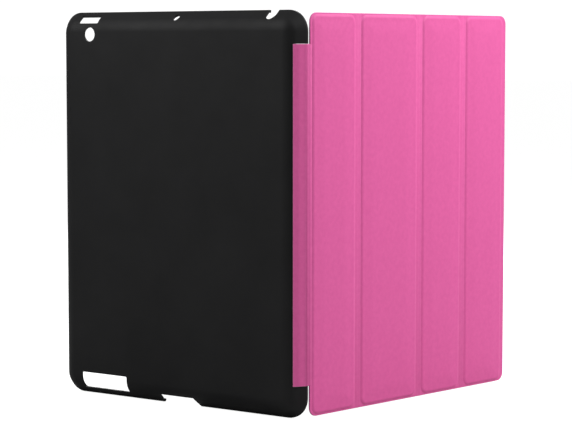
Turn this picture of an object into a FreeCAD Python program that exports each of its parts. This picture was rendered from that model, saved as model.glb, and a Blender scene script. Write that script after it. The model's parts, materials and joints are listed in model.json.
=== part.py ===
import FreeCAD, Part
import math
import os
import re

import Sketcher

# A hard back shell for a tablet, with a folding cover hinged along its right side.
# Millimetres. +Z is up. The shell stands on its lower edge with its back towards -Y,
# and the cover stands open like the cover of a book, with its outer face towards +X.
# The origin is the middle of the whole object's box, on the surface that it stands on.

SIZES = [
    ("cavity_width", 185.8, "room for the tablet, side to side"),
    ("cavity_height", 241.3, "room for the tablet, bottom to top"),
    ("wall", 1.2, "shell wall"),
    ("shell_depth", 10.4, "back face to front rim"),
    ("shell_corner", 13.0, "corner radius seen from behind"),
    ("edge_depth", 8.8, "back face to the start of the upright rim"),
    ("bevel_angle", 50.0, "slope of the edge, measured from the back face"),
    ("bevel_round", 11.0, "blend between the back face and the sloped edge"),
    ("lip_height", 0.4, "snap lip, front to back"),
    ("lip_width", 0.5, "how far the snap lip reaches inwards"),
    ("camera_side", 67.0, "camera hole, from the middle"),
    ("camera_up", 229.7, "camera hole, above the foot"),
    ("camera_hole", 8.8, "camera hole diameter"),
    ("power_left", 77.3, "power slot, outer end from the middle"),
    ("power_right", 61.3, "power slot, inner end from the middle"),
    ("power_up", 236.7, "power slot, lower edge above the foot"),
    ("power_depth", 6.6, "power slot, front edge from the back face"),
    ("mic_width", 4.4, "microphone hole diameter"),
    ("mic_back", 4.6, "microphone hole, behind the back face"),
    ("jack_side", 70.7, "headphone slot, from the middle"),
    ("jack_width", 7.2, "headphone slot width"),
    ("jack_back", 6.1, "middle of the headphone slot's round end, from the back face"),
    ("volume_low", 179.5, "volume slot, lower end"),
    ("volume_high", 218.5, "volume slot, upper end"),
    ("volume_back", 4.5, "volume slot, rear edge from the back face"),
    ("volume_front", 9.4, "volume slot, front edge from the back face"),
    ("volume_cut", 6.5, "volume slot, how far it is cut in from the side"),
    ("speaker_left", 75.5, "speaker window, outer end from the middle"),
    ("speaker_right", 38.3, "speaker window, inner end from the middle"),
    ("speaker_low", 4.3, "speaker window, lower edge"),
    ("speaker_high", 14.5, "speaker window, upper edge"),
    ("speaker_round", 1.0, "speaker window corner radius"),
    ("dock_top_width", 26.4, "dock notch width at its top"),
    ("dock_foot_width", 29.4, "dock notch width at the foot"),
    ("dock_high", 5.7, "dock notch height"),
    ("notch_inset", 5.3, "hinge notch, how far it reaches in from the side"),
    ("notch_low", 20.3, "hinge notch, lower end"),
    ("notch_high", 223.6, "hinge notch, upper end"),
    ("fit_gap", 0.1, "gap around pieces that sit in a recess"),
    ("lining", 0.5, "microfibre thickness"),
    ("skin", 0.7, "outer skin thickness"),
    ("board", 1.0, "stiffening board thickness"),
    ("core", 0.5, "spine stiffener thickness"),
    ("cover_height", 240.4, "cover, bottom to top"),
    ("cover_corner", 5.5, "cover corner radius"),
    ("open_angle", 81.7, "direction of the open cover, from +X"),
    ("hinge_lead", 0.7, "spine stiffener's end to the first bend"),
    ("hinge_pitch", 2.0, "first bend to second bend at the spine"),
    ("crease_pitch", 3.0, "bend to bend in a crease between panels"),
    ("bend_gap", 0.75, "bend to the edge of the next sheet"),
    ("ear_reach", 0.4, "first panel past its bend, above and below the hinge"),
    ("panel_1_width", 42.0, "second hinge bend to the middle of the first crease"),
    ("panel_2_width", 57.6, "crease middle to crease middle"),
    ("panel_3_width", 43.0, "crease middle to crease middle"),
    ("panel_4_width", 44.4, "last crease's middle to the free edge"),
    ("hinge_border", 1.2, "second hinge bend to the raised field"),
    ("crease_border", 1.4, "crease bend to the raised field"),
    ("free_border", 3.4, "raised field to the free edge"),
    ("end_border", 2.2, "raised field to the top or bottom edge"),
    ("field_slope", 40.0, "lean of the raised field's sides"),
    ("field_corner", 2.5, "corner radius of the raised fields"),
    ("board_inset", 1.2, "raised field's foot to the board"),
    ("plate_width", 30.0, "stand plate width"),
    ("plate_height", 150.0, "stand plate height"),
    ("plate_thick", 0.4, "stand plate thickness"),
    ("magnet_width", 3.0, "edge magnet width"),
    ("magnet_height", 12.0, "edge magnet height"),
    ("magnet_inset", 2.0, "free edge of the board to the edge magnets"),
    ("magnet_count", 9, "edge magnets"),
    ("magnet_spacing", 24.0, "edge magnet to edge magnet"),
    ("sleep_width", 5.0, "sleep magnet width"),
    ("sleep_height", 10.0, "sleep magnet height"),
    ("sleep_side", 22.0, "crease bend to the sleep magnet"),
    ("sleep_up", 196.0, "cover foot to the sleep magnet"),
]
NAMES = [name for name, _, _ in SIZES]
PANELS = 4
BEYOND = 1.0
TINY = 1e-4

SHELL_WIDTH = "(cavity_width + 2 * wall)"
SHELL_HEIGHT = "(cavity_height + 2 * wall)"
INNER_EDGE = "(edge_depth + wall * (1 - sin(bevel_angle * 1deg)) / cos(bevel_angle * 1deg))"
SHEET_HALF = "((lining + skin) / 2)"
SEAM = f"({SHEET_HALF} - lining)"

doc = FreeCAD.newDocument("tablet_case")
sub_parts = {}


def make_sheet():
    """Write the driving sizes into a spreadsheet, one alias to a row."""
    sheet = doc.addObject("Spreadsheet::Sheet", "Sizes")
    for row, (name, size, meaning) in enumerate(SIZES, start=1):
        sheet.set(f"A{row}", name)
        sheet.set(f"B{row}", str(size))
        sheet.set(f"C{row}", meaning)
        sheet.setAlias(f"B{row}", name)
    doc.recompute()
    return sheet


def sized(text):
    """Turn the size names in an expression into references to the sheet."""
    def named(word):
        return "Sizes." + word.group() if word.group() in NAMES else word.group()
    return re.sub(r"[a-z]\w*", named, text)


def value(text):
    """Work out an expression of size names as a number."""
    return float(sheet.evalExpression(sized(text)))


def bind(item, path, text):
    item.setExpression(path, sized(text))


def keep(item, bend=None):
    """List a finished sub-part under its own label, with the bend line that it is placed from."""
    item.Label = item.Name
    sub_parts[item] = bend


# ---------------------------------------------------------------- sketches and features

def add_sketch(body, role, offset="0"):
    """Add a sketch on one of the body's origin planes, moved along the plane's normal."""
    sketch = body.newObject("Sketcher::SketchObject", body.Name + "_sketch")
    plane = next(item for item in body.Origin.OriginFeatures if item.Role == role)
    sketch.AttachmentSupport = [(plane, "")]
    sketch.MapMode = "FlatFace"
    bind(sketch, "AttachmentOffset.Base.z", offset)
    return sketch


def place_point(sketch, line, x_text, y_text):
    """Tie the start of a line to a place given by two expressions."""
    for axis, text in (("DistanceX", x_text), ("DistanceY", y_text)):
        index = sketch.addConstraint(Sketcher.Constraint(axis, -1, 1, line, 1, value(text)))
        bind(sketch, f"Constraints[{index}]", text)


def draw_outline(sketch, corners):
    """Draw a closed outline of straight sides through corners given as pairs of expressions."""
    points = [FreeCAD.Vector(value(x), value(y), 0) for x, y in corners]
    count = len(points)
    for index in range(count):
        sketch.addGeometry(Part.LineSegment(points[index], points[(index + 1) % count]))
    for index in range(count):
        sketch.addConstraint(Sketcher.Constraint("Coincident", index, 2, (index + 1) % count, 1))
        place_point(sketch, index, *corners[index])


def draw_rectangle(sketch, left, right, low, high):
    draw_outline(sketch, [(left, low), (right, low), (right, high), (left, high)])


def draw_rounded_rectangle(sketch, left, right, low, high, radius):
    """Draw a rectangle with tangent corner arcs, bound to five expressions."""
    x0, x1, z0, z1, r = (value(text) for text in (left, right, low, high, radius))
    vector = FreeCAD.Vector
    sides = [(vector(x0 + r, z0, 0), vector(x1 - r, z0, 0)), (vector(x1, z0 + r, 0), vector(x1, z1 - r, 0)),
             (vector(x1 - r, z1, 0), vector(x0 + r, z1, 0)), (vector(x0, z1 - r, 0), vector(x0, z0 + r, 0))]
    centres = [vector(x1 - r, z0 + r, 0), vector(x1 - r, z1 - r, 0),
               vector(x0 + r, z1 - r, 0), vector(x0 + r, z0 + r, 0)]
    for index in range(4):
        start = math.radians(90 * index - 90)
        circle = Part.Circle(centres[index], vector(0, 0, 1), r)
        sketch.addGeometry(Part.LineSegment(*sides[index]))
        sketch.addGeometry(Part.ArcOfCircle(circle, start, start + math.pi / 2))
    for index in range(4):
        line = 2 * index
        arc = line + 1
        sketch.addConstraint(Sketcher.Constraint("Tangent", line, 2, arc, 1))
        sketch.addConstraint(Sketcher.Constraint("Tangent", arc, 2, (line + 2) % 8, 1))
        sketch.addConstraint(Sketcher.Constraint("Vertical" if index % 2 else "Horizontal", line))
        if index:
            sketch.addConstraint(Sketcher.Constraint("Equal", 1, arc))
    radius_index = sketch.addConstraint(Sketcher.Constraint("Radius", 1, r))
    bind(sketch, f"Constraints[{radius_index}]", radius)
    for axis, line, text in (("DistanceY", 0, low), ("DistanceX", 2, right),
                             ("DistanceY", 4, high), ("DistanceX", 6, left)):
        index = sketch.addConstraint(Sketcher.Constraint(axis, -1, 1, line, 1, value(text)))
        bind(sketch, f"Constraints[{index}]", text)


def draw_circle(sketch, x_text, y_text, diameter):
    centre = FreeCAD.Vector(value(x_text), value(y_text), 0)
    sketch.addGeometry(Part.Circle(centre, FreeCAD.Vector(0, 0, 1), value(diameter) / 2))
    for kind, text, ends in (("DistanceX", x_text, (-1, 1, 0, 3)), ("DistanceY", y_text, (-1, 1, 0, 3)),
                             ("Diameter", diameter, (0,))):
        index = sketch.addConstraint(Sketcher.Constraint(kind, *ends, value(text)))
        bind(sketch, f"Constraints[{index}]", text)


def volume_of(body):
    return body.Tip.Shape.Volume if body.Tip else 0.0


def add_feature(kind, body, sketch, length, reverse=False, lean="0"):
    """Pad or pocket a sketch, and stop if the solid didn't change the right way."""
    before = volume_of(body)
    feature = body.newObject("PartDesign::" + kind, f"{body.Name}_{kind.lower()}")
    feature.Profile = sketch
    feature.Reversed = reverse
    bind(feature, "Length", length)
    bind(feature, "TaperAngle", lean)
    doc.recompute()
    change = volume_of(body) - before
    if (change <= TINY) if kind == "Pad" else (change >= -TINY):
        raise RuntimeError(f"{feature.Name} changed nothing")
    return feature


def add_fillet(body, radius, chosen):
    """Round the edges of the body's last feature that the test picks out."""
    base = body.Tip
    edges = [f"Edge{number}" for number, edge in enumerate(base.Shape.Edges, start=1) if chosen(edge)]
    fillet = body.newObject("PartDesign::Fillet", body.Name + "_fillet")
    fillet.Base = (base, edges)
    bind(fillet, "Radius", radius)
    doc.recompute()
    return fillet


def lies_at_y(text):
    """Make a test for edges that lie in the plane at this y."""
    level = value(text)
    return lambda edge: edge.BoundBox.YMin > level - TINY and edge.BoundBox.YMax < level + TINY


# ---------------------------------------------------------------- back shell

def draw_shell_outline(body, inset, offset):
    sketch = add_sketch(body, "XZ_Plane", offset)
    draw_rounded_rectangle(sketch, f"-{SHELL_WIDTH} / 2 + {inset}", f"{SHELL_WIDTH} / 2 - {inset}", inset,
                           f"{SHELL_HEIGHT} - {inset}", f"shell_corner - {inset}")
    return sketch


def cut_from_behind(body, depth, draw, *places):
    """Cut a shape from behind the back face to a depth in the shell."""
    sketch = add_sketch(body, "XZ_Plane", str(BEYOND))
    draw(sketch, *places)
    add_feature("Pocket", body, sketch, f"{depth} + {BEYOND}")


def make_back_shell():
    """Dish with sloped edges, a snap lip and the cut-outs for the tablet's own controls."""
    body = doc.addObject("PartDesign::Body", "back_shell")
    lean = "bevel_angle - 90"
    add_feature("Pad", body, draw_shell_outline(body, "0", "-edge_depth"), "edge_depth", lean=lean)
    add_feature("Pad", body, draw_shell_outline(body, "0", "-edge_depth"), "shell_depth - edge_depth", True)
    add_fillet(body, "bevel_round", lies_at_y("0"))
    inner = f"-{INNER_EDGE}"
    add_feature("Pocket", body, draw_shell_outline(body, "wall", inner), f"{INNER_EDGE} - wall", True, lean)
    add_feature("Pocket", body, draw_shell_outline(body, "wall", inner),
                f"shell_depth - lip_height - {INNER_EDGE}")
    add_feature("Pocket", body, draw_shell_outline(body, "(wall + lip_width)", inner),
                f"shell_depth - {INNER_EDGE} + {BEYOND}")
    add_fillet(body, "bevel_round - wall", lies_at_y("wall"))
    cut_from_behind(body, "2 * wall", draw_circle, "-camera_side", "camera_up", "camera_hole")
    cut_from_behind(body, "power_depth", draw_rectangle, "-power_left", "-power_right", "power_up",
                    f"{SHELL_HEIGHT} + {BEYOND}")
    cut_from_behind(body, "edge_depth", draw_rounded_rectangle, "-speaker_left", "-speaker_right",
                    "speaker_low", "speaker_high", "speaker_round")
    dock_foot = str(-BEYOND)
    cut_from_behind(body, f"shell_depth + {BEYOND}", draw_outline,
                    [("-dock_foot_width / 2", dock_foot), ("dock_foot_width / 2", dock_foot),
                     ("dock_top_width / 2", "dock_high"), ("-dock_top_width / 2", "dock_high")])
    cut_from_behind(body, f"shell_depth + {BEYOND}", draw_rectangle, f"{SHELL_WIDTH} / 2 - notch_inset",
                    f"{SHELL_WIDTH} / 2 + {BEYOND}", "notch_low", "notch_high")
    cut_from_above(body)
    cut_volume_slot(body)
    keep(body)


def cut_from_above(body):
    """Cut the microphone hole and the headphone slot down through the top edge."""
    top = f"{SHELL_HEIGHT} + {BEYOND}"
    cut = f"shell_corner + {BEYOND} - wall"
    mic = add_sketch(body, "XY_Plane", top)
    draw_circle(mic, "0", "mic_back", "mic_width")
    add_feature("Pocket", body, mic, cut)
    for draw, places in ((draw_circle, ("jack_side", "jack_back", "jack_width")),
                         (draw_rectangle, ("jack_side - jack_width / 2", "jack_side + jack_width / 2",
                                           "jack_back", f"shell_depth + {BEYOND}"))):
        jack = add_sketch(body, "XY_Plane", top)
        draw(jack, *places)
        add_feature("Pocket", body, jack, cut)


def cut_volume_slot(body):
    """Cut the slot for the volume rocker and side switch through the left wall."""
    sketch = add_sketch(body, "YZ_Plane", f"-{SHELL_WIDTH} / 2 - {BEYOND}")
    draw_rectangle(sketch, "volume_back", "volume_front", "volume_low", "volume_high")
    add_feature("Pocket", body, sketch, f"volume_cut + {BEYOND}", True)


# ---------------------------------------------------------------- spine in the shell's notch

def add_box(name, length, width, height, corner, turn="0"):
    """Add a box with its corner at a place given by expressions, turned about Z."""
    box = doc.addObject("Part::Box", name)
    bind(box, "Length", length)
    bind(box, "Width", width)
    bind(box, "Height", height)
    box.Placement = FreeCAD.Placement(FreeCAD.Vector(*(value(text) for text in corner)),
                                      FreeCAD.Rotation(FreeCAD.Vector(0, 0, 1), value(turn)))
    return box


def join(kind, name, base, tool):
    """Combine two solids with a Part boolean."""
    result = doc.addObject("Part::" + kind, name)
    result.Base = base
    result.Tool = tool
    return result


def make_spine_layer(name, inside, thickness):
    """One layer of the strip that fills the notch, lying along the sloped edge and mitred to the shell."""
    slope = "bevel_angle * 1deg"
    reach = "(notch_inset / cos(bevel_angle * 1deg) + wall)"
    edge_x = f"({SHELL_WIDTH} / 2 - wall + ({inside} + {thickness}) * sin({slope}))"
    edge_y = f"({INNER_EDGE} - ({inside} + {thickness}) * cos({slope}))"
    lead = "(hinge_lead - bend_gap)"
    corner = (f"{edge_x} + ({lead} - {reach}) * cos({slope})", f"{edge_y} + ({lead} - {reach}) * sin({slope})",
              "notch_low + fit_gap")
    strip = add_box(name + "_strip", reach, thickness, "notch_high - notch_low - 2 * fit_gap", corner,
                    "bevel_angle")
    mitre = add_box(name + "_mitre", f"{SHELL_WIDTH} / 2", "2 * shell_depth", SHELL_HEIGHT,
                    ("fit_gap - notch_inset", "-shell_depth", "0"))
    keep(join("Cut", name, strip, mitre))


def make_spine():
    """Lining, stiffener and skin of the strip that holds the cover to the shell."""
    make_spine_layer("spine_lining", "0", "lining")
    make_spine_layer("spine_core", "lining", "core")
    make_spine_layer("spine_skin", "(lining + core)", "skin")


# ---------------------------------------------------------------- creases

def make_crease(name, pitch, low, high):
    """Skin and lining strips between two bends, with ends rounded about the bends."""
    length = f"({high} - {low})"
    bar = add_box(name + "_bar", pitch, f"2 * {SHEET_HALF}", length, ("0", f"-{SHEET_HALF}", low))
    ends = []
    for number, place in enumerate(("0", pitch)):
        end = doc.addObject("Part::Cylinder", f"{name}_end_{number}")
        bind(end, "Radius", SHEET_HALF)
        bind(end, "Height", length)
        end.Placement.Base = FreeCAD.Vector(value(place), 0, value(low))
        ends.append(end)
    for layer, kind in (("skin", "Common"), ("lining", "Cut")):
        form = join("Fuse", f"{name}_{layer}_form", join("Fuse", f"{name}_{layer}_half", bar, ends[0]), ends[1])
        outer = add_box(f"{name}_{layer}_side", f"{pitch} + 4 * {SHEET_HALF}", f"{SHEET_HALF} + {SEAM}",
                        f"{length} + 2 * {BEYOND}",
                        (f"-2 * {SHEET_HALF}", f"-{SHEET_HALF}", f"{low} - {BEYOND}"))
        keep(join(kind, f"{name}_{layer}", form, outer), name)


# ---------------------------------------------------------------- panels

def span(number):
    """Bend to bend across a panel; on the last panel, bend to free edge."""
    creases = 1 if number in (1, PANELS) else 2
    return f"(panel_{number}_width - {creases} * crease_pitch / 2)"


def sheet_ends(number):
    """Left and right edges of a panel's skin and lining."""
    right = span(number) if number == PANELS else f"({span(number)} - bend_gap)"
    return "bend_gap", right


def field_ends(number):
    """Left and right edges of the foot of a panel's raised field."""
    left = "hinge_border" if number == 1 else "crease_border"
    right = "free_border" if number == PANELS else "crease_border"
    return left, f"({span(number)} - {right})"


def draw_panel(body, number, offset, ends, low, high):
    sketch = add_sketch(body, "XZ_Plane", offset)
    draw_rectangle(sketch, *ends, low, high)
    return sketch


def draw_hinge_panel(body, offset):
    """Outline of the first panel's sheet: above and below the hinge it reaches past the bend."""
    left, right = sheet_ends(1)
    ear = "-ear_reach"
    low = "(notch_low - (cavity_height + 2 * wall - cover_height) / 2)"
    high = "(notch_high - (cavity_height + 2 * wall - cover_height) / 2)"
    sketch = add_sketch(body, "XZ_Plane", offset)
    draw_outline(sketch, [(ear, "0"), (right, "0"), (right, "cover_height"), (ear, "cover_height"),
                          (ear, high), (left, high), (left, low), (ear, low)])
    return sketch


def draw_sheet(body, number, offset):
    if number == 1:
        return draw_hinge_panel(body, offset)
    return draw_panel(body, number, offset, sheet_ends(number), "0", "cover_height")


def cover_corners(number):
    """Make a test for the sheet's edges at the cover's outer corners."""
    side = value("-ear_reach" if number == 1 else span(number))
    top = value("cover_height")

    def chosen(edge):
        box = edge.BoundBox
        at_side = box.XMin > side - TINY and box.XMax < side + TINY
        return at_side and box.ZLength < TINY and (box.ZMin < TINY or box.ZMax > top - TINY)
    return chosen


def board_ends(number):
    left, right = field_ends(number)
    return f"({left} + board_inset)", f"({right} - board_inset)"


def make_panel_skin(number):
    """Outer skin: a flat rim round a field raised over the board."""
    body = doc.addObject("PartDesign::Body", f"panel_{number}_skin")
    add_feature("Pad", body, draw_sheet(body, number, f"-{SEAM}"), "skin")
    if number in (1, PANELS):
        add_fillet(body, "cover_corner", cover_corners(number))
    field = add_sketch(body, "XZ_Plane", SHEET_HALF)
    draw_rounded_rectangle(field, *field_ends(number), "end_border", "cover_height - end_border",
                           "field_corner")
    add_feature("Pad", body, field, "board", lean="-field_slope")
    low = "(end_border + board_inset)"
    hollow = draw_panel(body, number, f"-{SEAM}", board_ends(number), low, f"cover_height - {low}")
    add_feature("Pocket", body, hollow, "board", True)
    keep(body, f"panel_{number}")


def make_panel_lining(number):
    """Flat microfibre sheet on the inside."""
    body = doc.addObject("PartDesign::Body", f"panel_{number}_lining")
    add_feature("Pad", body, draw_sheet(body, number, f"-{SHEET_HALF}"), "lining")
    if number in (1, PANELS):
        add_fillet(body, "cover_corner", cover_corners(number))
    keep(body, f"panel_{number}")


def make_panel_board(number):
    """Stiff board between skin and lining, recessed for what it carries."""
    body = doc.addObject("PartDesign::Body", f"panel_{number}_board")
    low = "(end_border + board_inset)"
    ends = [f"{board_ends(number)[0]} + fit_gap", f"{board_ends(number)[1]} - fit_gap"]
    outline = draw_panel(body, number, f"-{SEAM}", ends, f"{low} + fit_gap", f"cover_height - {low} - fit_gap")
    add_feature("Pad", body, outline, "board")
    if number == 1:
        recess = add_sketch(body, "XZ_Plane", f"-{SEAM}")
        draw_rectangle(recess, *(grown(edge, side) for edge, side in zip(plate_edges(), "-+-+")))
        add_feature("Pocket", body, recess, "plate_thick", True)
    if number == PANELS:
        for edges in magnet_edges() + [sleep_edges()]:
            window = add_sketch(body, "XZ_Plane", f"-{SEAM}")
            draw_rectangle(window, *(grown(edge, side) for edge, side in zip(edges, "-+-+")))
            add_feature("Pocket", body, window, "board", True)
    keep(body, f"panel_{number}")


# ---------------------------------------------------------------- plate and magnets

def grown(edge, side):
    """Move an edge outwards by the fitting gap."""
    return f"({edge} {side} fit_gap)"


def plate_edges():
    middle = f"({span(1)} / 2)"
    return (f"{middle} - plate_width / 2", f"{middle} + plate_width / 2",
            "(cover_height - plate_height) / 2", "(cover_height + plate_height) / 2")


def magnet_edges():
    """Left, right, low and high edges of each magnet along the cover's free edge."""
    right = f"({board_ends(PANELS)[1]} - magnet_inset)"
    edges = []
    for number in range(int(value("magnet_count"))):
        middle = f"(cover_height / 2 + ({number} - (magnet_count - 1) / 2) * magnet_spacing)"
        edges.append((f"({right} - magnet_width)", right,
                      f"({middle} - magnet_height / 2)", f"({middle} + magnet_height / 2)"))
    return edges


def sleep_edges():
    return "sleep_side", "sleep_side + sleep_width", "sleep_up", "sleep_up + sleep_height"


def make_inlay(name, number, outlines, thickness):
    """Flat pieces that lie in the board, flush with its inner face."""
    body = doc.addObject("PartDesign::Body", name)
    body.AllowCompound = True
    for edges in outlines:
        sketch = add_sketch(body, "XZ_Plane", f"-{SEAM}")
        draw_rectangle(sketch, *edges)
        add_feature("Pad", body, sketch, thickness)
    keep(body, f"panel_{number}")


# ---------------------------------------------------------------- places

def step(point, distance, degrees):
    """Move from a point in the XY plane by a distance in a direction."""
    turn = math.radians(degrees)
    return point + FreeCAD.Vector(distance * math.cos(turn), distance * math.sin(turn), 0)


def find_bends():
    """Place every bend line: two at the spine and two at each crease."""
    slope = value("bevel_angle")
    opening = value("open_angle")
    inner_corner = FreeCAD.Vector(value(f"{SHELL_WIDTH} / 2 - wall"), value(INNER_EDGE), 0)
    on_slope = step(inner_corner, value("hinge_lead"), slope)
    bends = {"hinge": (step(on_slope, value(SHEET_HALF), slope - 90), (slope + opening) / 2)}
    along = step(bends["hinge"][0], value("hinge_pitch"), bends["hinge"][1])
    bends["panel_1"] = (along, opening)
    for number in range(1, PANELS):
        along = step(along, value(span(number)), opening)
        bends[f"crease_{number}"] = (along, opening)
        along = step(along, value("crease_pitch"), opening)
        bends[f"panel_{number + 1}"] = (along, opening)
    return bends


def place_sub_parts(bends, foot):
    """Stand the cover's pieces at their bends, then centre the whole object on the origin."""
    for item, bend in sub_parts.items():
        if bend:
            point, turn = bends[bend]
            item.Placement = FreeCAD.Placement(point + FreeCAD.Vector(0, 0, foot),
                                               FreeCAD.Rotation(FreeCAD.Vector(0, 0, 1), turn))
    doc.recompute()
    box = FreeCAD.BoundBox()
    for item in sub_parts:
        box.add(item.Shape.optimalBoundingBox())
    shift = FreeCAD.Vector(-box.Center.x, -box.Center.y, -box.ZMin)
    for item in sub_parts:
        item.Placement.Base = item.Placement.Base + shift
    doc.recompute()
    return shift


def check_and_write():
    """Stop on any failed object or bad shape, then write one file for each sub-part."""
    for item in doc.Objects:
        if {"Invalid", "Error"} & set(item.State):
            raise RuntimeError(f"{item.Name} failed: {item.State}")
    for item in sub_parts:
        if item.Shape.isNull() or not item.Shape.isValid() or not item.Shape.Solids:
            raise RuntimeError(f"{item.Name} has a bad shape")
    os.makedirs("parts", exist_ok=True)
    for item in sub_parts:
        item.Shape.exportStep(f"parts/{item.Label}.step")


sheet = make_sheet()
cover_foot = value(f"({SHELL_HEIGHT} - cover_height) / 2")
make_back_shell()
make_spine()
make_crease("hinge", "hinge_pitch", f"(notch_low + fit_gap - ({SHELL_HEIGHT} - cover_height) / 2)",
            f"(notch_high - fit_gap - ({SHELL_HEIGHT} - cover_height) / 2)")
for panel in range(1, PANELS + 1):
    make_panel_skin(panel)
    make_panel_board(panel)
    make_panel_lining(panel)
for crease in range(1, PANELS):
    make_crease(f"crease_{crease}", "crease_pitch", "0", "cover_height")
make_inlay("stand_plate", 1, [plate_edges()], "plate_thick")
make_inlay("edge_magnets", PANELS, magnet_edges(), "board")
make_inlay("sleep_magnet", PANELS, [sleep_edges()], "board")
bend_lines = find_bends()
to_origin = place_sub_parts(bend_lines, cover_foot)
check_and_write()
for bend_name, (bend_point, _) in bend_lines.items():
    print("bend", bend_name, round(bend_point.x + to_origin.x, 4), round(bend_point.y + to_origin.y, 4))
print("shell centre", round(to_origin.x, 4), round(to_origin.y, 4))
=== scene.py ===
import json
import math

import bmesh
import bpy
from mathutils import Matrix, Vector


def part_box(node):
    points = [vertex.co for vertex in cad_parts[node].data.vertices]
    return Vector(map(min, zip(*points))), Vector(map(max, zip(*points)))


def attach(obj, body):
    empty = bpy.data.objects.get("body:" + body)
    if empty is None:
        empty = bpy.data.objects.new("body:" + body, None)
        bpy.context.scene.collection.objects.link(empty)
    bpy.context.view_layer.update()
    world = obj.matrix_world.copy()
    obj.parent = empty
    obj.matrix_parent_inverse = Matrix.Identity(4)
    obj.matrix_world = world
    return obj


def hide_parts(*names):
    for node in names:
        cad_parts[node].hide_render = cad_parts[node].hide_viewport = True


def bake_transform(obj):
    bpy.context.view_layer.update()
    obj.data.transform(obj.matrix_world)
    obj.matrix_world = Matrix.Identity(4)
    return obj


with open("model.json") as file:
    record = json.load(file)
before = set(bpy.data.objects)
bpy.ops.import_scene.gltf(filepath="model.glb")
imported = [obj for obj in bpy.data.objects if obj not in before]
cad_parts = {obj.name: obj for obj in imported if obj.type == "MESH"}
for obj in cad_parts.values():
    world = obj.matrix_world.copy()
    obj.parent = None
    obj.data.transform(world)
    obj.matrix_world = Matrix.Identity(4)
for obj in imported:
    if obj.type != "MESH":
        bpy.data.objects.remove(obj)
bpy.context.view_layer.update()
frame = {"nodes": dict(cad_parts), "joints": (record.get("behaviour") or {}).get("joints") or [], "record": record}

# A tablet case that stands open: a black back shell, and a pink cover of four raised panels.
# Metres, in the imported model's frame. MM turns a size in millimetres into metres.

MM = 0.001
PANELS = 4

# How finely rounds are drawn, and the smallest round, which stands for a square corner.
CORNER_STEPS = 10
ROUND_STEPS = 4
HOLE_STEPS = 48
BEVEL_SEGMENTS = 3
SQUARE = 0.05 * MM

# Edges that turn more than these angles are shaded as sharp, or get a bevel.
SHARP_TURN = math.radians(40)
SHELL_SHARP_TURN = math.radians(30)
SHELL_BEVEL_TURN = math.radians(40)
SPINE_BEVEL_TURN = math.radians(50)

# Sizes of the shell that its boxes don't give. They are the ones that the solid model has, apart from
# BROKEN_EDGE, the small bevel on its edges.
WALL = 1.2 * MM
SHELL_CORNER = 13.0 * MM
EDGE_DEPTH = 8.8 * MM
BEVEL = math.radians(50.0)
BEVEL_ROUND = 11.0 * MM
LIP_HEIGHT = 0.4 * MM
LIP_WIDTH = 0.5 * MM
NOTCH_INSET = 5.3 * MM
FIT_GAP = 0.1 * MM
BROKEN_EDGE = 0.22 * MM

# The shell's openings. Across is from its middle, up from its lower edge, and deep from its back face.
# SPEAKER gives left, right, low and high, and VOLUME back, front, low and high. DOCK_FOOT and DOCK_HEAD are
# half widths. PAST is how far outside the shell a cut starts.
PAST = 1.0 * MM
OPENING_CORNER = 0.6 * MM
CAMERA_HOLE_ACROSS = -67.0 * MM
CAMERA_HOLE_UP = 229.7 * MM
CAMERA_HOLE_RADIUS = 4.4 * MM
CAMERA_HOLE_DEPTH = 2.4 * MM
POWER_LEFT = -77.3 * MM
POWER_RIGHT = -61.3 * MM
POWER_LOW = 236.7 * MM
POWER_DEPTH = 6.6 * MM
SPEAKER = (-75.5 * MM, -38.3 * MM, 4.3 * MM, 14.5 * MM)
SPEAKER_CORNER = 1.0 * MM
DOCK_FOOT = 14.96 * MM
DOCK_HEAD = 13.2 * MM
DOCK_UP = 5.7 * MM
NOTCH_LOW = 20.3 * MM
NOTCH_HIGH = 223.6 * MM
MIC_DEEP = 4.6 * MM
MIC_RADIUS = 2.2 * MM
JACK_ACROSS = 70.7 * MM
JACK_DEEP = 6.1 * MM
JACK_RADIUS = 3.6 * MM
VOLUME = (4.5 * MM, 9.4 * MM, 179.5 * MM, 218.5 * MM)
VOLUME_DEPTH = 6.5 * MM

# The cover's layers, measured outwards from the middle of the sheet.
SEAM = -0.1 * MM
SKIN_TOP = 0.6 * MM
LINING_FOOT = -0.6 * MM
BOARD_TOP = 0.9 * MM
FIELD_EDGE = 1.25 * MM
FIELD_TOP = 1.6 * MM

# Each layer's material slot, and its two faces' levels.
LAYERS = {"skin": ("cover_skin", (SEAM, SKIN_TOP)), "lining": ("microfibre", (LINING_FOOT, SEAM))}

# The spine's layers, measured outwards from the inner face of its lining. A face whose normal is more upright
# than LEVEL_FACE is one of its two ends.
LINING = 0.5 * MM
CORE_TOP = 1.0 * MM
SKIN = 0.7 * MM
SPINE_EASE = 5.0 * MM
SPINE_STEPS = 12
SPINE_ROUND = 0.15 * MM
CUT_EDGE_ROUND = 0.42 * MM
LEVEL_FACE = 0.5

# The cover's outline and its raised fields. BLEND is half of the width that a bend turns over.
BLEND = 0.9 * MM
BEND_STEPS = 24
EDGE_ROUND = 0.3 * MM
LINING_ROUND = 0.12 * MM
COVER_CORNER = 5.5 * MM
FIELD_CORNER = 5.0 * MM
SIDE_SOFTNESS = 2.2 * MM
END_SOFTNESS = 2.1 * MM
CROWN = 9.0 * MM
HINGE_BORDER = 1.0 * MM
CREASE_BORDER = 1.1 * MM
FREE_BORDER = 3.4 * MM
END_BORDER = 0.8 * MM
SLOPE_STEPS = 10
NOTCH_SPREAD = 1.0 * MM

# The light in the room, how bright the room and the floor look to the camera of themselves, and the floor's
# own grey, half width in metres and squares to a side.
ROOM_LIGHT = 0.22
ROOM_WHITE = 1.1
FLOOR_WHITE = 0.90
FLOOR_GREY = 0.44
FLOOR_HALF_WIDTH = 12.0
FLOOR_SQUARES = 8

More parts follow.
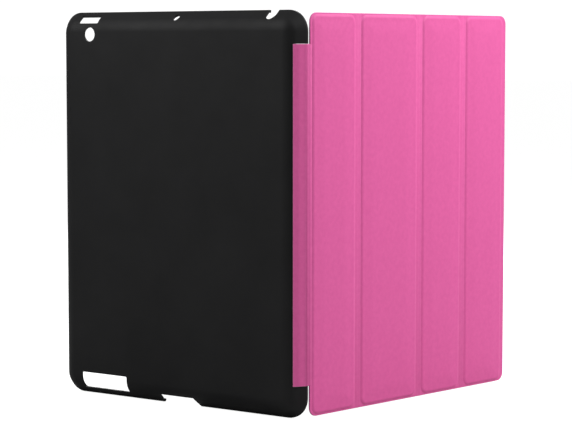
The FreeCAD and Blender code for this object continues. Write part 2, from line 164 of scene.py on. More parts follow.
# Each soft box: its place, the point that it faces, its width in metres and its power in watts.
SOFT_BOXES = {
    "softbox_side": ((0.65, 0.27, 0.82), (0.0, 0.0, 0.14), 0.40, 10.6),
    "softbox_front": ((-0.30, -0.52, 0.56), (0.0, -0.09, 0.22), 0.55, 2.7),
    "softbox_back": ((-0.55, 0.85, 0.60), (0.0, 0.0, 0.12), 0.60, 9.0),
}

# The render's camera: its place in metres, how far round from straight behind and how far above it looks
# from, and its lens and sensor in millimetres.
VIEW_PLACE = (0.74859, -1.049255, 0.219849)
VIEW_TURN = math.radians(35.467)
VIEW_RISE = math.radians(4.732)
VIEW_LENS = 124.96
VIEW_SENSOR = 36.0


# ---------------------------------------------------------------- places read from the frame

def joint_place(name):
    """Where a joint's axis is in plan."""
    joint = next(joint for joint in frame["joints"] if joint["name"] == name)
    return Vector((joint["pos_m"][0], joint["pos_m"][1], 0.0))


def reach(node, origin, direction):
    """Nearest and furthest that a CAD node goes from a point, along a direction."""
    far = [(vertex.co - origin).dot(direction) for vertex in frame["nodes"][node].data.vertices]
    return min(far), max(far)


def heading(angle):
    """Unit vector in plan at this angle."""
    return Vector((math.cos(angle), math.sin(angle), 0.0))


def outward(angle):
    """Unit vector in plan, square to a heading, on the skin's side of the cover."""
    return heading(angle - math.pi / 2)


def angle_of(start, end):
    return math.atan2(end.y - start.y, end.x - start.x)


REAR_BEND = joint_place("cover_hinge_rear")
FRONT_BEND = joint_place("cover_hinge_front")
NEAR_BENDS = {number: joint_place(f"fold_{number}_near") for number in range(1, PANELS)}
FAR_BENDS = {number: joint_place(f"fold_{number}_far") for number in range(1, PANELS)}
PANEL_STARTS = {1: FRONT_BEND, **{number + 1: FAR_BENDS[number] for number in range(1, PANELS)}}
COVER_ANGLE = angle_of(FRONT_BEND, FAR_BENDS[PANELS - 1])
LINK_ANGLE = angle_of(REAR_BEND, FRONT_BEND)
SPINE_ANGLE = BEVEL
PANEL_WIDTHS = {number: (NEAR_BENDS[number] - PANEL_STARTS[number]).length for number in NEAR_BENDS}
COVER_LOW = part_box("panel_2_skin")[0].z
COVER_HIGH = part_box("panel_2_skin")[1].z
HINGE_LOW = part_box("hinge_skin")[0].z
HINGE_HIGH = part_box("hinge_skin")[1].z
SHELL_LOW, SHELL_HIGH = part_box("back_shell")
SHELL_MIDDLE = (SHELL_LOW.x + SHELL_HIGH.x) / 2
SPINE_REAR = SHELL_HIGH.x - NOTCH_INSET + FIT_GAP
SPINE_LIP = REAR_BEND + outward(SPINE_ANGLE) * LINING_FOOT


# ---------------------------------------------------------------- meshes

def add_piece(name, mesh, slot_name):
    """Link a mesh as a named piece with its material slot and that slot's material."""
    piece = bpy.data.objects.new(name, mesh)
    bpy.context.scene.collection.objects.link(piece)
    mesh.materials.clear()
    mesh.materials.append(MATERIALS[slot_name])
    return piece


def finish_mesh(name, bm):
    """Turn a closed bmesh into a mesh with outward faces and smooth shading."""
    bmesh.ops.recalc_face_normals(bm, faces=bm.faces)
    mesh = bpy.data.meshes.new(name)
    bm.to_mesh(mesh)
    bm.free()
    mesh.shade_smooth()
    mesh.set_sharp_from_angle(angle=SHARP_TURN)
    return mesh


def even_shading(piece):
    """Let large faces decide the normals at the small rounds beside them."""
    weighted = piece.modifiers.new("even_shading", "WEIGHTED_NORMAL")
    weighted.keep_sharp = True


def stack(name, loops):
    """Close a solid from loops that have the same number of points, with a face at each end."""
    bm = bmesh.new()
    rings = [[bm.verts.new(point) for point in loop] for loop in loops]
    count = len(rings[0])
    for lower, upper in zip(rings, rings[1:]):
        for index in range(count):
            after = (index + 1) % count
            bm.faces.new((lower[index], lower[after], upper[after], upper[index]))
    bm.faces.new(rings[0])
    bm.faces.new(rings[-1])
    return finish_mesh(name, bm)


def rounded_outline(left, right, low, high, radii):
    """Points round a rectangle, with a radius for each corner in turn from the lower left."""
    corners = [
        (left, low, 1, 1, 180),
        (right, low, -1, 1, 270),
        (right, high, -1, -1, 0),
        (left, high, 1, -1, 90),
    ]
    points = []
    for (side, level, into_side, into_level, start), radius in zip(corners, radii):
        for number in range(CORNER_STEPS + 1):
            turn = math.radians(start + 90 * number / CORNER_STEPS)
            points.append((side + into_side * radius + radius * math.cos(turn),
                           level + into_level * radius + radius * math.sin(turn)))
    return points


def rectangle(left, right, low, high, radius):
    """Points round a rectangle whose corners are alike."""
    return rounded_outline(left, right, low, high, [radius] * 4)


def circle(across, up, radius):
    """Points round a circle, given its centre."""
    turns = [2 * math.pi * number / HOLE_STEPS for number in range(HOLE_STEPS)]
    return [(across + radius * math.cos(turn), up + radius * math.sin(turn)) for turn in turns]


def rounded_rise(radius):
    """Insets and drops from a flat top, going up round an edge of this radius."""
    turns = [math.radians(90 * number / (ROUND_STEPS - 1)) for number in range(ROUND_STEPS)]
    return [(radius * (1 - math.cos(turn)), radius - radius * math.sin(turn)) for turn in turns]


def soft_step(share):
    """Ease from 0 to 1 with level ends."""
    return share * share * (3 - 2 * share)


# ---------------------------------------------------------------- node materials

def new_material(name):
    """An empty principled material, and its node tree and shader."""
    material = bpy.data.materials.new(name)
    material.use_nodes = True
    tree = material.node_tree
    tree.nodes.clear()
    shader = tree.nodes.new("ShaderNodeBsdfPrincipled")
    output = tree.nodes.new("ShaderNodeOutputMaterial")
    tree.links.new(shader.outputs["BSDF"], output.inputs["Surface"])
    return material, tree, shader


def add_noise(tree, size, detail=3.0, roughness=0.5, stretch=(1.0, 1.0, 1.0)):
    """Noise whose features are about this size on the object."""
    place = tree.nodes.new("ShaderNodeTexCoord")
    scale = tree.nodes.new("ShaderNodeMapping")
    scale.inputs["Scale"].default_value = stretch
    noise = tree.nodes.new("ShaderNodeTexNoise")
    noise.inputs["Scale"].default_value = 1.0 / size
    noise.inputs["Detail"].default_value = detail
    noise.inputs["Roughness"].default_value = roughness
    tree.links.new(place.outputs["Object"], scale.inputs["Vector"])
    tree.links.new(scale.outputs["Vector"], noise.inputs["Vector"])
    return noise.outputs["Fac"]


def add_cells(tree, size):
    """Rounded cells, as in a leather grain."""
    place = tree.nodes.new("ShaderNodeTexCoord")
    cells = tree.nodes.new("ShaderNodeTexVoronoi")
    cells.feature = "SMOOTH_F1"
    cells.inputs["Scale"].default_value = 1.0 / size
    cells.inputs["Smoothness"].default_value = 0.6
    tree.links.new(place.outputs["Object"], cells.inputs["Vector"])
    return cells.outputs["Distance"]


def add_ramp(tree, source, low, high, start=0.3, end=0.7):
    """Colours or grey levels spread over a texture's range."""
    ramp = tree.nodes.new("ShaderNodeValToRGB")
    ramp.color_ramp.elements[0].position = start
    ramp.color_ramp.elements[1].position = end
    ramp.color_ramp.elements[0].color = (*low, 1.0)
    ramp.color_ramp.elements[1].color = (*high, 1.0)
    tree.links.new(source, ramp.inputs["Fac"])
    return ramp.outputs["Color"]


def grey(level):
    return (level, level, level)


def add_wear(tree, colour, worn, radius, amount):
    """Mix a worn colour in where the surface turns sharply, broken up by noise."""
    rounded = tree.nodes.new("ShaderNodeBevel")
    rounded.inputs["Radius"].default_value = radius
    flat = tree.nodes.new("ShaderNodeNewGeometry")
    turned = tree.nodes.new("ShaderNodeVectorMath")
    turned.operation = "DOT_PRODUCT"
    tree.links.new(rounded.outputs["Normal"], turned.inputs[0])
    tree.links.new(flat.outputs["Normal"], turned.inputs[1])
    edge = tree.nodes.new("ShaderNodeMapRange")
    edge.inputs["From Min"].default_value = 1.0
    edge.inputs["From Max"].default_value = 0.9
    tree.links.new(turned.outputs["Value"], edge.inputs["Value"])
    patchy = tree.nodes.new("ShaderNodeMath")
    patchy.operation = "MULTIPLY"
    tree.links.new(edge.outputs["Result"], patchy.inputs[0])
    tree.links.new(add_noise(tree, 3 * MM, detail=4.0), patchy.inputs[1])
    strength = tree.nodes.new("ShaderNodeMath")
    strength.operation = "MULTIPLY"
    strength.inputs[1].default_value = amount
    tree.links.new(patchy.outputs["Value"], strength.inputs[0])
    mix = tree.nodes.new("ShaderNodeMix")
    mix.data_type = "RGBA"
    mix.inputs["B"].default_value = (*worn, 1.0)
    tree.links.new(strength.outputs["Value"], mix.inputs["Factor"])
    tree.links.new(colour, mix.inputs["A"])
    return mix.outputs["Result"]


def add_bump(tree, shader, heights):
    """Chain bumps of (texture, depth in metres) into the shader's normal."""
    normal = None
    for height, depth in heights:
        bump = tree.nodes.new("ShaderNodeBump")
        bump.inputs["Distance"].default_value = depth
        tree.links.new(height, bump.inputs["Height"])
        if normal:
            tree.links.new(normal, bump.inputs["Normal"])
        normal = bump.outputs["Normal"]
    tree.links.new(normal, shader.inputs["Normal"])


def make_shell_plastic():
    """Black soft-touch coating: a very fine matt texture, a little paler where edges rub."""
    material, tree, shader = new_material("shell_plastic")
    dark, pale = (0.0075, 0.0075, 0.008), (0.0105, 0.0105, 0.011)
    colour = add_ramp(tree, add_noise(tree, 30 * MM), dark, pale)
    gloss = add_ramp(tree, add_noise(tree, 12 * MM), grey(0.54), grey(0.62))
    texture = (add_noise(tree, 0.25 * MM, detail=2.0), 0.008 * MM)
    waviness = (add_noise(tree, 60 * MM), 0.05 * MM)
    tree.links.new(add_wear(tree, colour, grey(0.035), 0.5 * MM, 0.6), shader.inputs["Base Color"])
    tree.links.new(gloss, shader.inputs["Roughness"])
    shader.inputs["Specular IOR Level"].default_value = 0.22
    add_bump(tree, shader, [texture, waviness])
    return material


def make_cover_skin():
    """Pink polyurethane leather: fine rounded grain with a soft mottle and paler rubbed edges."""
    material, tree, shader = new_material("cover_skin")
    dark, pale, worn = (0.715, 0.106, 0.340), (0.755, 0.120, 0.366), (0.83, 0.26, 0.52)
    colour = add_ramp(tree, add_noise(tree, 2.5 * MM, detail=4.0), dark, pale)
    gloss = add_ramp(tree, add_noise(tree, 4 * MM), grey(0.50), grey(0.62))
    grain = (add_cells(tree, 0.55 * MM), 0.03 * MM)
    creasing = (add_noise(tree, 1.6 * MM, detail=3.0), 0.02 * MM)
    tree.links.new(add_wear(tree, colour, worn, 0.5 * MM, 0.5), shader.inputs["Base Color"])
    tree.links.new(gloss, shader.inputs["Roughness"])
    shader.inputs["Specular IOR Level"].default_value = 0.26
    shader.inputs["Sheen Weight"].default_value = 0.04
    shader.inputs["Sheen Roughness"].default_value = 0.5
    add_bump(tree, shader, [grain, creasing])
    return material


def make_microfibre():
    """Light grey brushed microfibre: short fibres lying mostly up the cover, with a sheen."""
    material, tree, shader = new_material("microfibre")
    fibres = add_noise(tree, 0.3 * MM, detail=5.0, roughness=0.7, stretch=(1.0, 1.0, 0.25))
    colour = add_ramp(tree, add_noise(tree, 9 * MM, detail=5.0), (0.39, 0.39, 0.40), (0.44, 0.44, 0.45))
    tree.links.new(colour, shader.inputs["Base Color"])
    tree.links.new(add_ramp(tree, fibres, grey(0.85), grey(0.97)), shader.inputs["Roughness"])
    shader.inputs["Sheen Weight"].default_value = 0.5
    shader.inputs["Sheen Roughness"].default_value = 0.4
    add_bump(tree, shader, [(fibres, 0.06 * MM)])
    return material


def make_stiff_board():
    """Bare glass-fibre board: a pale resin with fine lengthwise fibres."""
    material, tree, shader = new_material("stiff_board")
    fibres = add_noise(tree, 0.4 * MM, detail=4.0, roughness=0.6, stretch=(1.0, 1.0, 0.08))
    gloss = add_ramp(tree, add_noise(tree, 6 * MM), grey(0.50), grey(0.70))
    colour = add_ramp(tree, fibres, (0.52, 0.50, 0.41), (0.70, 0.68, 0.59))
    tree.links.new(colour, shader.inputs["Base Color"])
    tree.links.new(gloss, shader.inputs["Roughness"])
    add_bump(tree, shader, [(fibres, 0.04 * MM)])
    return material


def make_metal(name, dark, pale, smooth, rough, grain):
    """Plain metal whose roughness follows a grain that runs up the piece."""
    material, tree, shader = new_material(name)
    lines = add_noise(tree, grain, detail=4.0, roughness=0.6, stretch=(1.0, 1.0, 0.05))
    tree.links.new(add_ramp(tree, add_noise(tree, 7 * MM), dark, pale), shader.inputs["Base Color"])
    tree.links.new(add_ramp(tree, lines, grey(smooth), grey(rough)), shader.inputs["Roughness"])
    shader.inputs["Metallic"].default_value = 1.0
    add_bump(tree, shader, [(lines, 0.01 * MM)])
    return material


def make_cut_edge():
    """The skin's cut edge, in a pale greyish pink that is paler than the skin's face."""
    material, tree, shader = new_material("cut_edge")
    colour = add_ramp(tree, add_noise(tree, 1.2 * MM, detail=4.0), (0.62, 0.34, 0.46), (0.80, 0.58, 0.66))
    gloss = add_ramp(tree, add_noise(tree, 2 * MM), grey(0.70), grey(0.85))
    tree.links.new(colour, shader.inputs["Base Color"])
    tree.links.new(gloss, shader.inputs["Roughness"])
    add_bump(tree, shader, [(add_noise(tree, 0.2 * MM, detail=4.0), 0.05 * MM)])
    return material


def make_steel_plate():
    """Rolled steel, dull, with a coarse grain."""
    return make_metal("steel_plate", (0.50, 0.50, 0.51), (0.60, 0.60, 0.61), 0.28, 0.45, 0.5 * MM)


def make_magnet_metal():
    """Nickel plating, smoother and a little warmer than the steel."""
    return make_metal("magnet_metal", (0.62, 0.61, 0.59), (0.70, 0.69, 0.67), 0.15, 0.28, 0.3 * MM)


MATERIALS = {
    "shell_plastic": make_shell_plastic(),
    "cover_skin": make_cover_skin(),
    "microfibre": make_microfibre(),
    "stiff_board": make_stiff_board(),
    "steel_plate": make_steel_plate(),
    "magnet_metal": make_magnet_metal(),
}
CUT_EDGE = make_cut_edge()


# ---------------------------------------------------------------- back shell

def shell_loop(inset, depth):
    """One outline of the shell, this far in from its side and this far in front of its back face."""
    width = (SHELL_HIGH.x - SHELL_LOW.x) / 2 - inset
    radius = max(SHELL_CORNER - inset, SQUARE)
    outline = rectangle(-width, width, SHELL_LOW.z + inset, SHELL_HIGH.z - inset, radius)
    return [(SHELL_MIDDLE + x, SHELL_LOW.y + depth, z) for x, z in outline]


def shell_side(offset):
    """Insets and depths from the back face round the bevel to the upright rim.

    offset moves the whole line inwards, which gives the shell's inner face."""
    radius = BEVEL_ROUND - offset
    tangent = BEVEL_ROUND * math.tan(BEVEL / 2)
    foot = EDGE_DEPTH / math.tan(BEVEL) + tangent
    places = []
    for number in range(CORNER_STEPS + 1):
        turn = BEVEL * number / CORNER_STEPS
        places.append((foot - radius * math.sin(turn), BEVEL_ROUND - radius * math.cos(turn)))
    upright = EDGE_DEPTH + offset * (1 - math.sin(BEVEL)) / math.cos(BEVEL)
    places.append((offset, upright))
    return places


def make_shell_form():
    """The whole dish before its openings are cut, with softened rim edges and a snap lip."""
    depth = SHELL_HIGH.y - SHELL_LOW.y
    soft = EDGE_ROUND / 2
    loops = shell_side(0.0)
    loops += [(0.0, depth - soft), (soft, depth), (WALL + LIP_WIDTH - soft, depth)]
    loops += [(WALL + LIP_WIDTH, depth - soft), (WALL + LIP_WIDTH, depth - LIP_HEIGHT)]
    loops += [(WALL, depth - LIP_HEIGHT)]
    loops += reversed(shell_side(WALL))
    return stack("shell_form", [shell_loop(inset, level) for inset, level in loops])


def make_tool(name, outline, place):
    """A cutting solid from a flat outline and a function that puts its points at both ends of the cut."""
    ends = [[place(first, second, end) for first, second in outline] for end in (0, 1)]
    return bpy.data.objects.new(name, stack(name, ends))


def through_back(name, outline, depth):
    """Cut from outside the back face to this depth. The outline is (across, up)."""
    ends = (SHELL_LOW.y - PAST, SHELL_LOW.y + depth)
    return make_tool(name, outline, lambda x, z, end: (SHELL_MIDDLE + x, ends[end], SHELL_LOW.z + z))


def through_top(name, outline):
    """Cut from above the top edge into the cavity. The outline is (across, deep)."""
    ends = (SHELL_HIGH.z + PAST, SHELL_HIGH.z - SHELL_CORNER + WALL)
    return make_tool(name, outline, lambda x, y, end: (SHELL_MIDDLE + x, SHELL_LOW.y + y, ends[end]))


def through_left(name, outline, depth):
    """Cut from outside the left side to this depth. The outline is (deep, up)."""
    ends = (SHELL_LOW.x - PAST, SHELL_LOW.x + depth)
    return make_tool(name, outline, lambda y, z, end: (ends[end], SHELL_LOW.y + y, SHELL_LOW.z + z))


def back_tools():
    """Cuts seen from behind: camera, power button, speaker, dock plug and hinge notch."""
    depth = SHELL_HIGH.y - SHELL_LOW.y
    top = SHELL_HIGH.z - SHELL_LOW.z + PAST
    half = (SHELL_HIGH.x - SHELL_LOW.x) / 2
    camera_hole = circle(CAMERA_HOLE_ACROSS, CAMERA_HOLE_UP, CAMERA_HOLE_RADIUS)
    power = rectangle(POWER_LEFT, POWER_RIGHT, POWER_LOW, top, OPENING_CORNER)
    dock = [(-DOCK_FOOT, -PAST), (DOCK_FOOT, -PAST), (DOCK_HEAD, DOCK_UP), (-DOCK_HEAD, DOCK_UP)]
    notch = rectangle(half - NOTCH_INSET, half + PAST, NOTCH_LOW, NOTCH_HIGH, OPENING_CORNER)
    return [
        through_back("cut_camera", camera_hole, CAMERA_HOLE_DEPTH),
        through_back("cut_power", power, POWER_DEPTH),
        through_back("cut_speaker", rectangle(*SPEAKER, SPEAKER_CORNER), EDGE_DEPTH),
        through_back("cut_dock", dock, depth + PAST),
        through_back("cut_notch", notch, depth + PAST),
    ]


def edge_tools():
    """Cuts through the edges: microphone, headphone plug with its open mouth, and volume buttons."""
    front = SHELL_HIGH.y - SHELL_LOW.y + PAST
    jack_left = JACK_ACROSS - JACK_RADIUS
    jack_right = JACK_ACROSS + JACK_RADIUS
    return [
        through_top("cut_mic", circle(0.0, MIC_DEEP, MIC_RADIUS)),
        through_top("cut_jack", circle(JACK_ACROSS, JACK_DEEP, JACK_RADIUS)),
        through_top("cut_jack_mouth", rectangle(jack_left, jack_right, JACK_DEEP, front, SQUARE)),
        through_left("cut_volume", rectangle(*VOLUME, OPENING_CORNER), VOLUME_DEPTH),
    ]


def cut_shell_form():
    """Mesh of the shell with its openings cut."""
    form = bpy.data.objects.new("shell_form", make_shell_form())
    tools = back_tools() + edge_tools()
    for item in [form] + tools:
        bpy.context.scene.collection.objects.link(item)
    for tool in tools:
        cut = form.modifiers.new(tool.name, "BOOLEAN")
        cut.operation = "DIFFERENCE"
        cut.solver = "EXACT"
        cut.object = tool
    bpy.context.view_layer.update()
    cut_form = form.evaluated_get(bpy.context.evaluated_depsgraph_get())
    mesh = bpy.data.meshes.new_from_object(cut_form)
    for item in [form] + tools:
        bpy.data.objects.remove(item)
    return mesh


def make_shell():
    """Back shell with its openings cut and every edge broken."""
    mesh = cut_shell_form()
    mesh.shade_smooth()
    mesh.set_sharp_from_angle(angle=SHELL_SHARP_TURN)
    shell = add_piece("shell_body", mesh, "shell_plastic")
    soften = shell.modifiers.new("broken_edges", "BEVEL")
    soften.width = BROKEN_EDGE
    soften.segments = BEVEL_SEGMENTS
    soften.limit_method = "ANGLE"
    soften.angle_limit = SHELL_BEVEL_TURN
    even_shading(shell)
    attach(shell, "shell")
    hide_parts("back_shell")


# ---------------------------------------------------------------- spine in the notch

def spine_point(along, height):
    """Point in plan, this far along the spine from its bend and outwards from its inner face."""
    return SPINE_LIP + heading(SPINE_ANGLE) * along + outward(SPINE_ANGLE) * height


def spine_rear(height):
    """Point in plan where the spine ends beside the notch's upright side."""
    along = (SPINE_REAR - spine_point(0.0, height).x) / math.cos(SPINE_ANGLE)
    return spine_point(along, height)


def spine_outline(low, high):
    """Outline in plan of a layer. low and high are its faces' heights, beside the notch and at the bend."""
    low_rear, low_bend = low
    high_rear, high_bend = high
    outline = [spine_rear(low_rear), spine_point(-BLEND, low_bend)]
    for number in range(SPINE_STEPS + 1):
        share = number / SPINE_STEPS
        height = high_bend + (high_rear - high_bend) * soft_step(share)
        outline.append(spine_point(-BLEND - SPINE_EASE * share, height))
    outline.append(spine_rear(high_rear))
    return outline


def show_cut_edge(piece):
    """Give the ends and the notch side of the spine's skin a rounded edge in the cut edge's material."""
    mesh = piece.data
    mesh.materials.append(CUT_EDGE)
    for face in mesh.polygons:
        at_notch = all(mesh.vertices[index].co.x < SPINE_REAR + SQUARE for index in face.vertices)
        if abs(face.normal.z) > LEVEL_FACE or at_notch:
            face.material_index = 1
    weights = mesh.attributes.new("bevel_weight_edge", "FLOAT", "EDGE")
    for edge in mesh.edges:
        first, last = (mesh.vertices[index].co for index in edge.vertices)
        at_end = abs(first.z - last.z) < SQUARE
        at_notch = max(first.x, last.x) < SPINE_REAR + SQUARE
        weights.data[edge.index].value = float(at_end or at_notch)


def make_spine_layer(name, slot_name, faces, node):
    """One layer of the strip in the notch. faces are the heights of its inner and its outer face."""
    outline = spine_outline(*faces)
    ends = [[(point.x, point.y, z) for point in outline] for z in (HINGE_LOW, HINGE_HIGH)]
    piece = add_piece(name, stack(name, ends), slot_name)
    soften = piece.modifiers.new("soft_edges", "BEVEL")
    soften.width = SPINE_ROUND
    soften.segments = BEVEL_SEGMENTS
    soften.limit_method = "ANGLE"
    soften.angle_limit = SPINE_BEVEL_TURN
    if slot_name == "cover_skin":
        show_cut_edge(piece)
        soften.width = CUT_EDGE_ROUND
        soften.material = 1
        soften.limit_method = "WEIGHT"
    even_shading(piece)
    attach(piece, "shell")
    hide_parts(node)


def make_spine():
    """The lining, flat on both sides, and the skin over the core, which thins towards the bend."""
    lining_faces = ((0.0, 0.0), (LINING, LINING))
    skin_faces = ((CORE_TOP, CORE_TOP), (CORE_TOP + SKIN, LINING + SKIN))
    make_spine_layer("spine_microfibre", "microfibre", lining_faces, "spine_lining")
    make_spine_layer("spine_leather", "cover_skin", skin_faces, "spine_skin")


# ---------------------------------------------------------------- bends

def bend_section(low, high, foot, top):
    """Points (up, outwards) round the section of a strip, with its two outer edges rounded."""
    edge = min(EDGE_ROUND, (top - foot) / 2)
    section = [(low, foot)]
    section += [(low + inset, top - drop) for inset, drop in rounded_rise(edge)]
    return section + [(low + high - z, level) for z, level in reversed(section)]


def bend_loop(section, bend, turns, along):
    """The section this far along the strip from its bend, turned as far as the strip has turned there."""
    before, after = turns
    share = min(max((along + BLEND) / (2 * BLEND), 0.0), 1.0)
    turned = Matrix.Rotation(soft_step(share) * (after - before), 3, "Z")
    ahead = heading(before) * along
    aside = outward(before)
    return [bend + turned @ (ahead + aside * level) + Vector((0, 0, z)) for z, level in section]


def make_bend(name, slot_name, bend, turns, stretch, layer, heights, nodes):
    """Half of a bending strip: flat along turns[0], turning round the bend to turns[1]."""
    first, last = stretch
    section = bend_section(*heights, *layer)
    loops = []
    for number in range(BEND_STEPS + 1):
        along = first + (last - first) * number / BEND_STEPS
        loops.append(bend_loop(section, bend, turns, along))
    piece = add_piece(name, stack(name, loops), slot_name)
    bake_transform(piece)
    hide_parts(*nodes)


def make_hinge():
    """The strip between the spine and the first panel, in two halves that meet at its middle."""
    half = (FRONT_BEND - REAR_BEND).length / 2
    heights = (HINGE_LOW, HINGE_HIGH)
    rear_turns = (SPINE_ANGLE, LINK_ANGLE)
    front_turns = (LINK_ANGLE, COVER_ANGLE)
    for layer, (slot_name, levels) in LAYERS.items():
        node = [f"hinge_{layer}"]
        make_bend(f"hinge_{layer}_rear", slot_name,
                  REAR_BEND, rear_turns, (-BLEND, half), levels, heights, node)
        make_bend(f"hinge_{layer}_front", slot_name,
                  FRONT_BEND, front_turns, (-half, BLEND), levels, heights, node)


def make_creases():
    """Each crease in two halves, one at each of its bends."""
    straight = (COVER_ANGLE, COVER_ANGLE)
    heights = (COVER_LOW, COVER_HIGH)
    for number in range(1, PANELS):
        half = (FAR_BENDS[number] - NEAR_BENDS[number]).length / 2
        for layer, (slot_name, levels) in LAYERS.items():
            node = [f"crease_{number}_{layer}"]
            make_bend(f"fold_{number}_{layer}_near", slot_name,
                      NEAR_BENDS[number], straight, (-BLEND, half), levels, heights, node)
            make_bend(f"fold_{number}_{layer}_far", slot_name,
                      FAR_BENDS[number], straight, (-half, BLEND), levels, heights, node)


# ---------------------------------------------------------------- panels

def place_on_panel(number, outline, level):
    """Put an outline's points (along, up) on a panel, this far outwards from the middle of its sheet."""
    start = PANEL_STARTS[number]
    ahead = heading(COVER_ANGLE)
    lift = outward(COVER_ANGLE) * level
    return [start + ahead * along + lift + Vector((0, 0, z)) for along, z in outline]


def beside_hinge(number, left):
    """Four points on the left side of panel 1's hollow and field, to match the notch in its sheet."""
    if number > 1:
        return []
    heights = [HINGE_HIGH + NOTCH_SPREAD, HINGE_HIGH - NOTCH_SPREAD]
    heights += [HINGE_LOW + NOTCH_SPREAD, HINGE_LOW - NOTCH_SPREAD]
    return [(left, z) for z in heights]


def sheet_reach(number):
    """Where a panel's sheet starts and ends, along it from its first bend."""
    return reach(f"panel_{number}_skin", PANEL_STARTS[number], heading(COVER_ANGLE))


def sheet_loop(number, inset, level):
    """Edge of a panel's sheet, moved in. It is square at a bend, and panel 1 has a notch for the hinge."""
    left, right = sheet_reach(number)
    corner = max(COVER_CORNER - inset, SQUARE)
    left_corner = corner if number == 1 else SQUARE
    right_corner = corner if number == PANELS else SQUARE
    left = left + inset if number == 1 else BLEND
    right = right - inset if number == PANELS else PANEL_WIDTHS[number] - BLEND
    corners = [left_corner, right_corner, right_corner, left_corner]
    outline = rounded_outline(left, right, COVER_LOW + inset, COVER_HIGH - inset, corners)
    if number == 1:
        outline += [(left, HINGE_HIGH), (BLEND, HINGE_HIGH), (BLEND, HINGE_LOW), (left, HINGE_LOW)]
    return place_on_panel(number, outline, level)


def field_loop(number, share, inset, level):
    """Edge of a panel's raised field, this share of the way up its sides and then moved in."""
    side = SIDE_SOFTNESS * share + inset
    end = END_BORDER + END_SOFTNESS * share + inset
    left = (HINGE_BORDER if number == 1 else CREASE_BORDER) + side
    if number == PANELS:
        right = sheet_reach(number)[1] - FREE_BORDER - side
    else:
        right = PANEL_WIDTHS[number] - CREASE_BORDER - side
    outline = rectangle(left, right, COVER_LOW + end, COVER_HIGH - end, max(FIELD_CORNER - side, SQUARE))
    return place_on_panel(number, outline + beside_hinge(number, left), level)


def board_loop(number, level):
    """Edge of the hollow in the skin that holds a panel's board."""
    left, right = reach(f"panel_{number}_board", PANEL_STARTS[number], heading(COVER_ANGLE))
    low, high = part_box(f"panel_{number}_board")
    left -= FIT_GAP
    outline = rectangle(left, right + FIT_GAP, low.z - FIT_GAP, high.z + FIT_GAP, SQUARE)
    return place_on_panel(number, outline + beside_hinge(number, left), level)


def panel_skin_loops(number):
    """Edges from the board's hollow round the sheet's rim, up the field's sides and over its crown."""
    loops = [board_loop(number, BOARD_TOP), board_loop(number, SEAM), sheet_loop(number, 0.0, SEAM)]
    loops += [sheet_loop(number, inset, SKIN_TOP - drop) for inset, drop in rounded_rise(EDGE_ROUND)]
    for step in range(SLOPE_STEPS + 1):
        share = step / SLOPE_STEPS
        rise = math.sin(math.pi / 2 * share)
        loops.append(field_loop(number, share, 0.0, SKIN_TOP + (FIELD_EDGE - SKIN_TOP) * rise))
    for step in range(1, SLOPE_STEPS + 1):
        share = step / SLOPE_STEPS
        rise = (1 - math.cos(math.pi * share)) / 2
        loops.append(field_loop(number, 1.0, CROWN * share, FIELD_EDGE + (FIELD_TOP - FIELD_EDGE) * rise))
    return loops


def make_panel_skin(number):
    """Skin with a rounded rim and a raised, slightly crowned field."""
    mesh = stack("panel_skin", panel_skin_loops(number))
    skin = add_piece(f"panel_{number}_leather", mesh, "cover_skin")
    even_shading(skin)
    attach(skin, f"panel_{number}")
    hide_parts(f"panel_{number}_skin")


def make_panel_lining(number):
    """Flat lining behind the skin and the board, with a softened inner edge."""
    loops = [sheet_loop(number, 0.0, SEAM), sheet_loop(number, 0.0, LINING_FOOT + LINING_ROUND)]
    loops.append(sheet_loop(number, LINING_ROUND, LINING_FOOT))
    lining = add_piece(f"panel_{number}_microfibre", stack("panel_lining", loops), "microfibre")
    even_shading(lining)
    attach(lining, f"panel_{number}")
    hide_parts(f"panel_{number}_lining")


def paint_inner_nodes():
    """Give the CAD nodes that stay their procedural materials."""
    for row in frame["record"]["subparts"]:
        node = frame["nodes"][row["node"]]
        if row["material_slot"] in MATERIALS and not node.hide_render:
            node.data.materials.clear()
            node.data.materials.append(MATERIALS[row["material_slot"]])


# ---------------------------------------------------------------- stage, lights and camera

def make_floor_paper():
    """Grey paper in the light, with a glow that only the camera sees."""
    material, tree, shader = new_material("floor_paper")
    shader.inputs["Base Color"].default_value = (*grey(FLOOR_GREY), 1.0)
    shader.inputs["Roughness"].default_value = 0.9
    shader.inputs["Specular IOR Level"].default_value = 0.0
    shader.inputs["Emission Color"].default_value = (1.0, 1.0, 1.0, 1.0)
    path = tree.nodes.new("ShaderNodeLightPath")
    glow = tree.nodes.new("ShaderNodeMath")
    glow.operation = "MULTIPLY"
    glow.inputs[1].default_value = FLOOR_WHITE
    tree.links.new(path.outputs["Is Camera Ray"], glow.inputs[0])
    tree.links.new(glow.outputs["Value"], shader.inputs["Emission Strength"])
    return material


def make_floor():
    """A plain pale floor that runs out of sight."""
    bm = bmesh.new()
    bmesh.ops.create_grid(bm, x_segments=FLOOR_SQUARES, y_segments=FLOOR_SQUARES, size=FLOOR_HALF_WIDTH)
    mesh = bpy.data.meshes.new("floor")
    bm.to_mesh(mesh)
    bm.free()
    floor = bpy.data.objects.new("floor", mesh)
    bpy.context.scene.collection.objects.link(floor)
    mesh.materials.append(make_floor_paper())


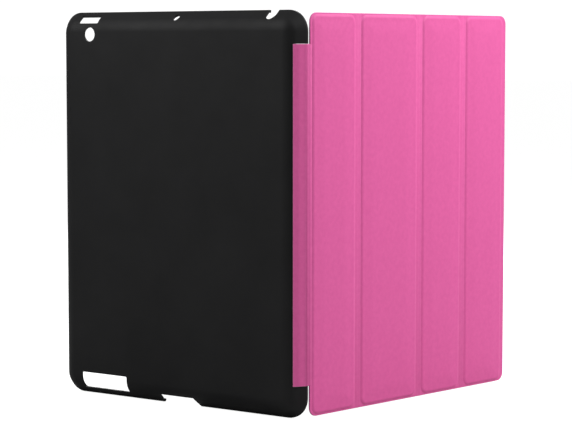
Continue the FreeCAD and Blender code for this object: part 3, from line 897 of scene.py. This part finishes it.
def add_soft_box(name, place, aim, size, power):
    """A square lamp that the camera doesn't see."""
    light = bpy.data.lights.new(name, "AREA")
    light.shape = "SQUARE"
    light.size = size
    light.energy = power
    lamp = bpy.data.objects.new(name, light)
    lamp.location = place
    lamp.rotation_mode = "QUATERNION"
    lamp.rotation_quaternion = (Vector(aim) - Vector(place)).to_track_quat("-Z", "Y")
    lamp.visible_camera = False
    bpy.context.scene.collection.objects.link(lamp)


def make_room():
    """A room that lights the object dimly and looks white to the camera."""
    world = bpy.data.worlds.new("room")
    world.use_nodes = True
    tree = world.node_tree
    dim = tree.nodes["Background"]
    dim.inputs["Color"].default_value = (1.0, 1.0, 1.0, 1.0)
    dim.inputs["Strength"].default_value = ROOM_LIGHT
    white = tree.nodes.new("ShaderNodeBackground")
    white.inputs["Color"].default_value = (1.0, 1.0, 1.0, 1.0)
    white.inputs["Strength"].default_value = ROOM_WHITE
    path = tree.nodes.new("ShaderNodeLightPath")
    mix = tree.nodes.new("ShaderNodeMixShader")
    tree.links.new(path.outputs["Is Camera Ray"], mix.inputs["Fac"])
    tree.links.new(dim.outputs["Background"], mix.inputs[1])
    tree.links.new(white.outputs["Background"], mix.inputs[2])
    tree.links.new(mix.outputs["Shader"], tree.nodes["World Output"].inputs["Surface"])
    bpy.context.scene.world = world
    bpy.context.scene.view_settings.view_transform = "Standard"


def make_camera():
    """Camera a little above the object, turned towards the back shell and the cover."""
    camera = bpy.data.cameras.new("camera")
    camera.lens = VIEW_LENS
    camera.sensor_width = VIEW_SENSOR
    holder = bpy.data.objects.new("camera", camera)
    level = math.cos(VIEW_RISE)
    back = Vector((math.sin(VIEW_TURN) * level, -math.cos(VIEW_TURN) * level, math.sin(VIEW_RISE)))
    holder.location = VIEW_PLACE
    holder.rotation_mode = "QUATERNION"
    holder.rotation_quaternion = (-back).to_track_quat("-Z", "Y")
    bpy.context.scene.collection.objects.link(holder)
    bpy.context.scene.camera = holder


make_camera()
make_shell()
make_spine()
make_hinge()
make_creases()
for panel_number in range(1, PANELS + 1):
    make_panel_skin(panel_number)
    make_panel_lining(panel_number)
paint_inner_nodes()
make_floor()
make_room()
for lamp_name, (place, aim, size, power) in SOFT_BOXES.items():
    add_soft_box(lamp_name, place, aim, size, power)
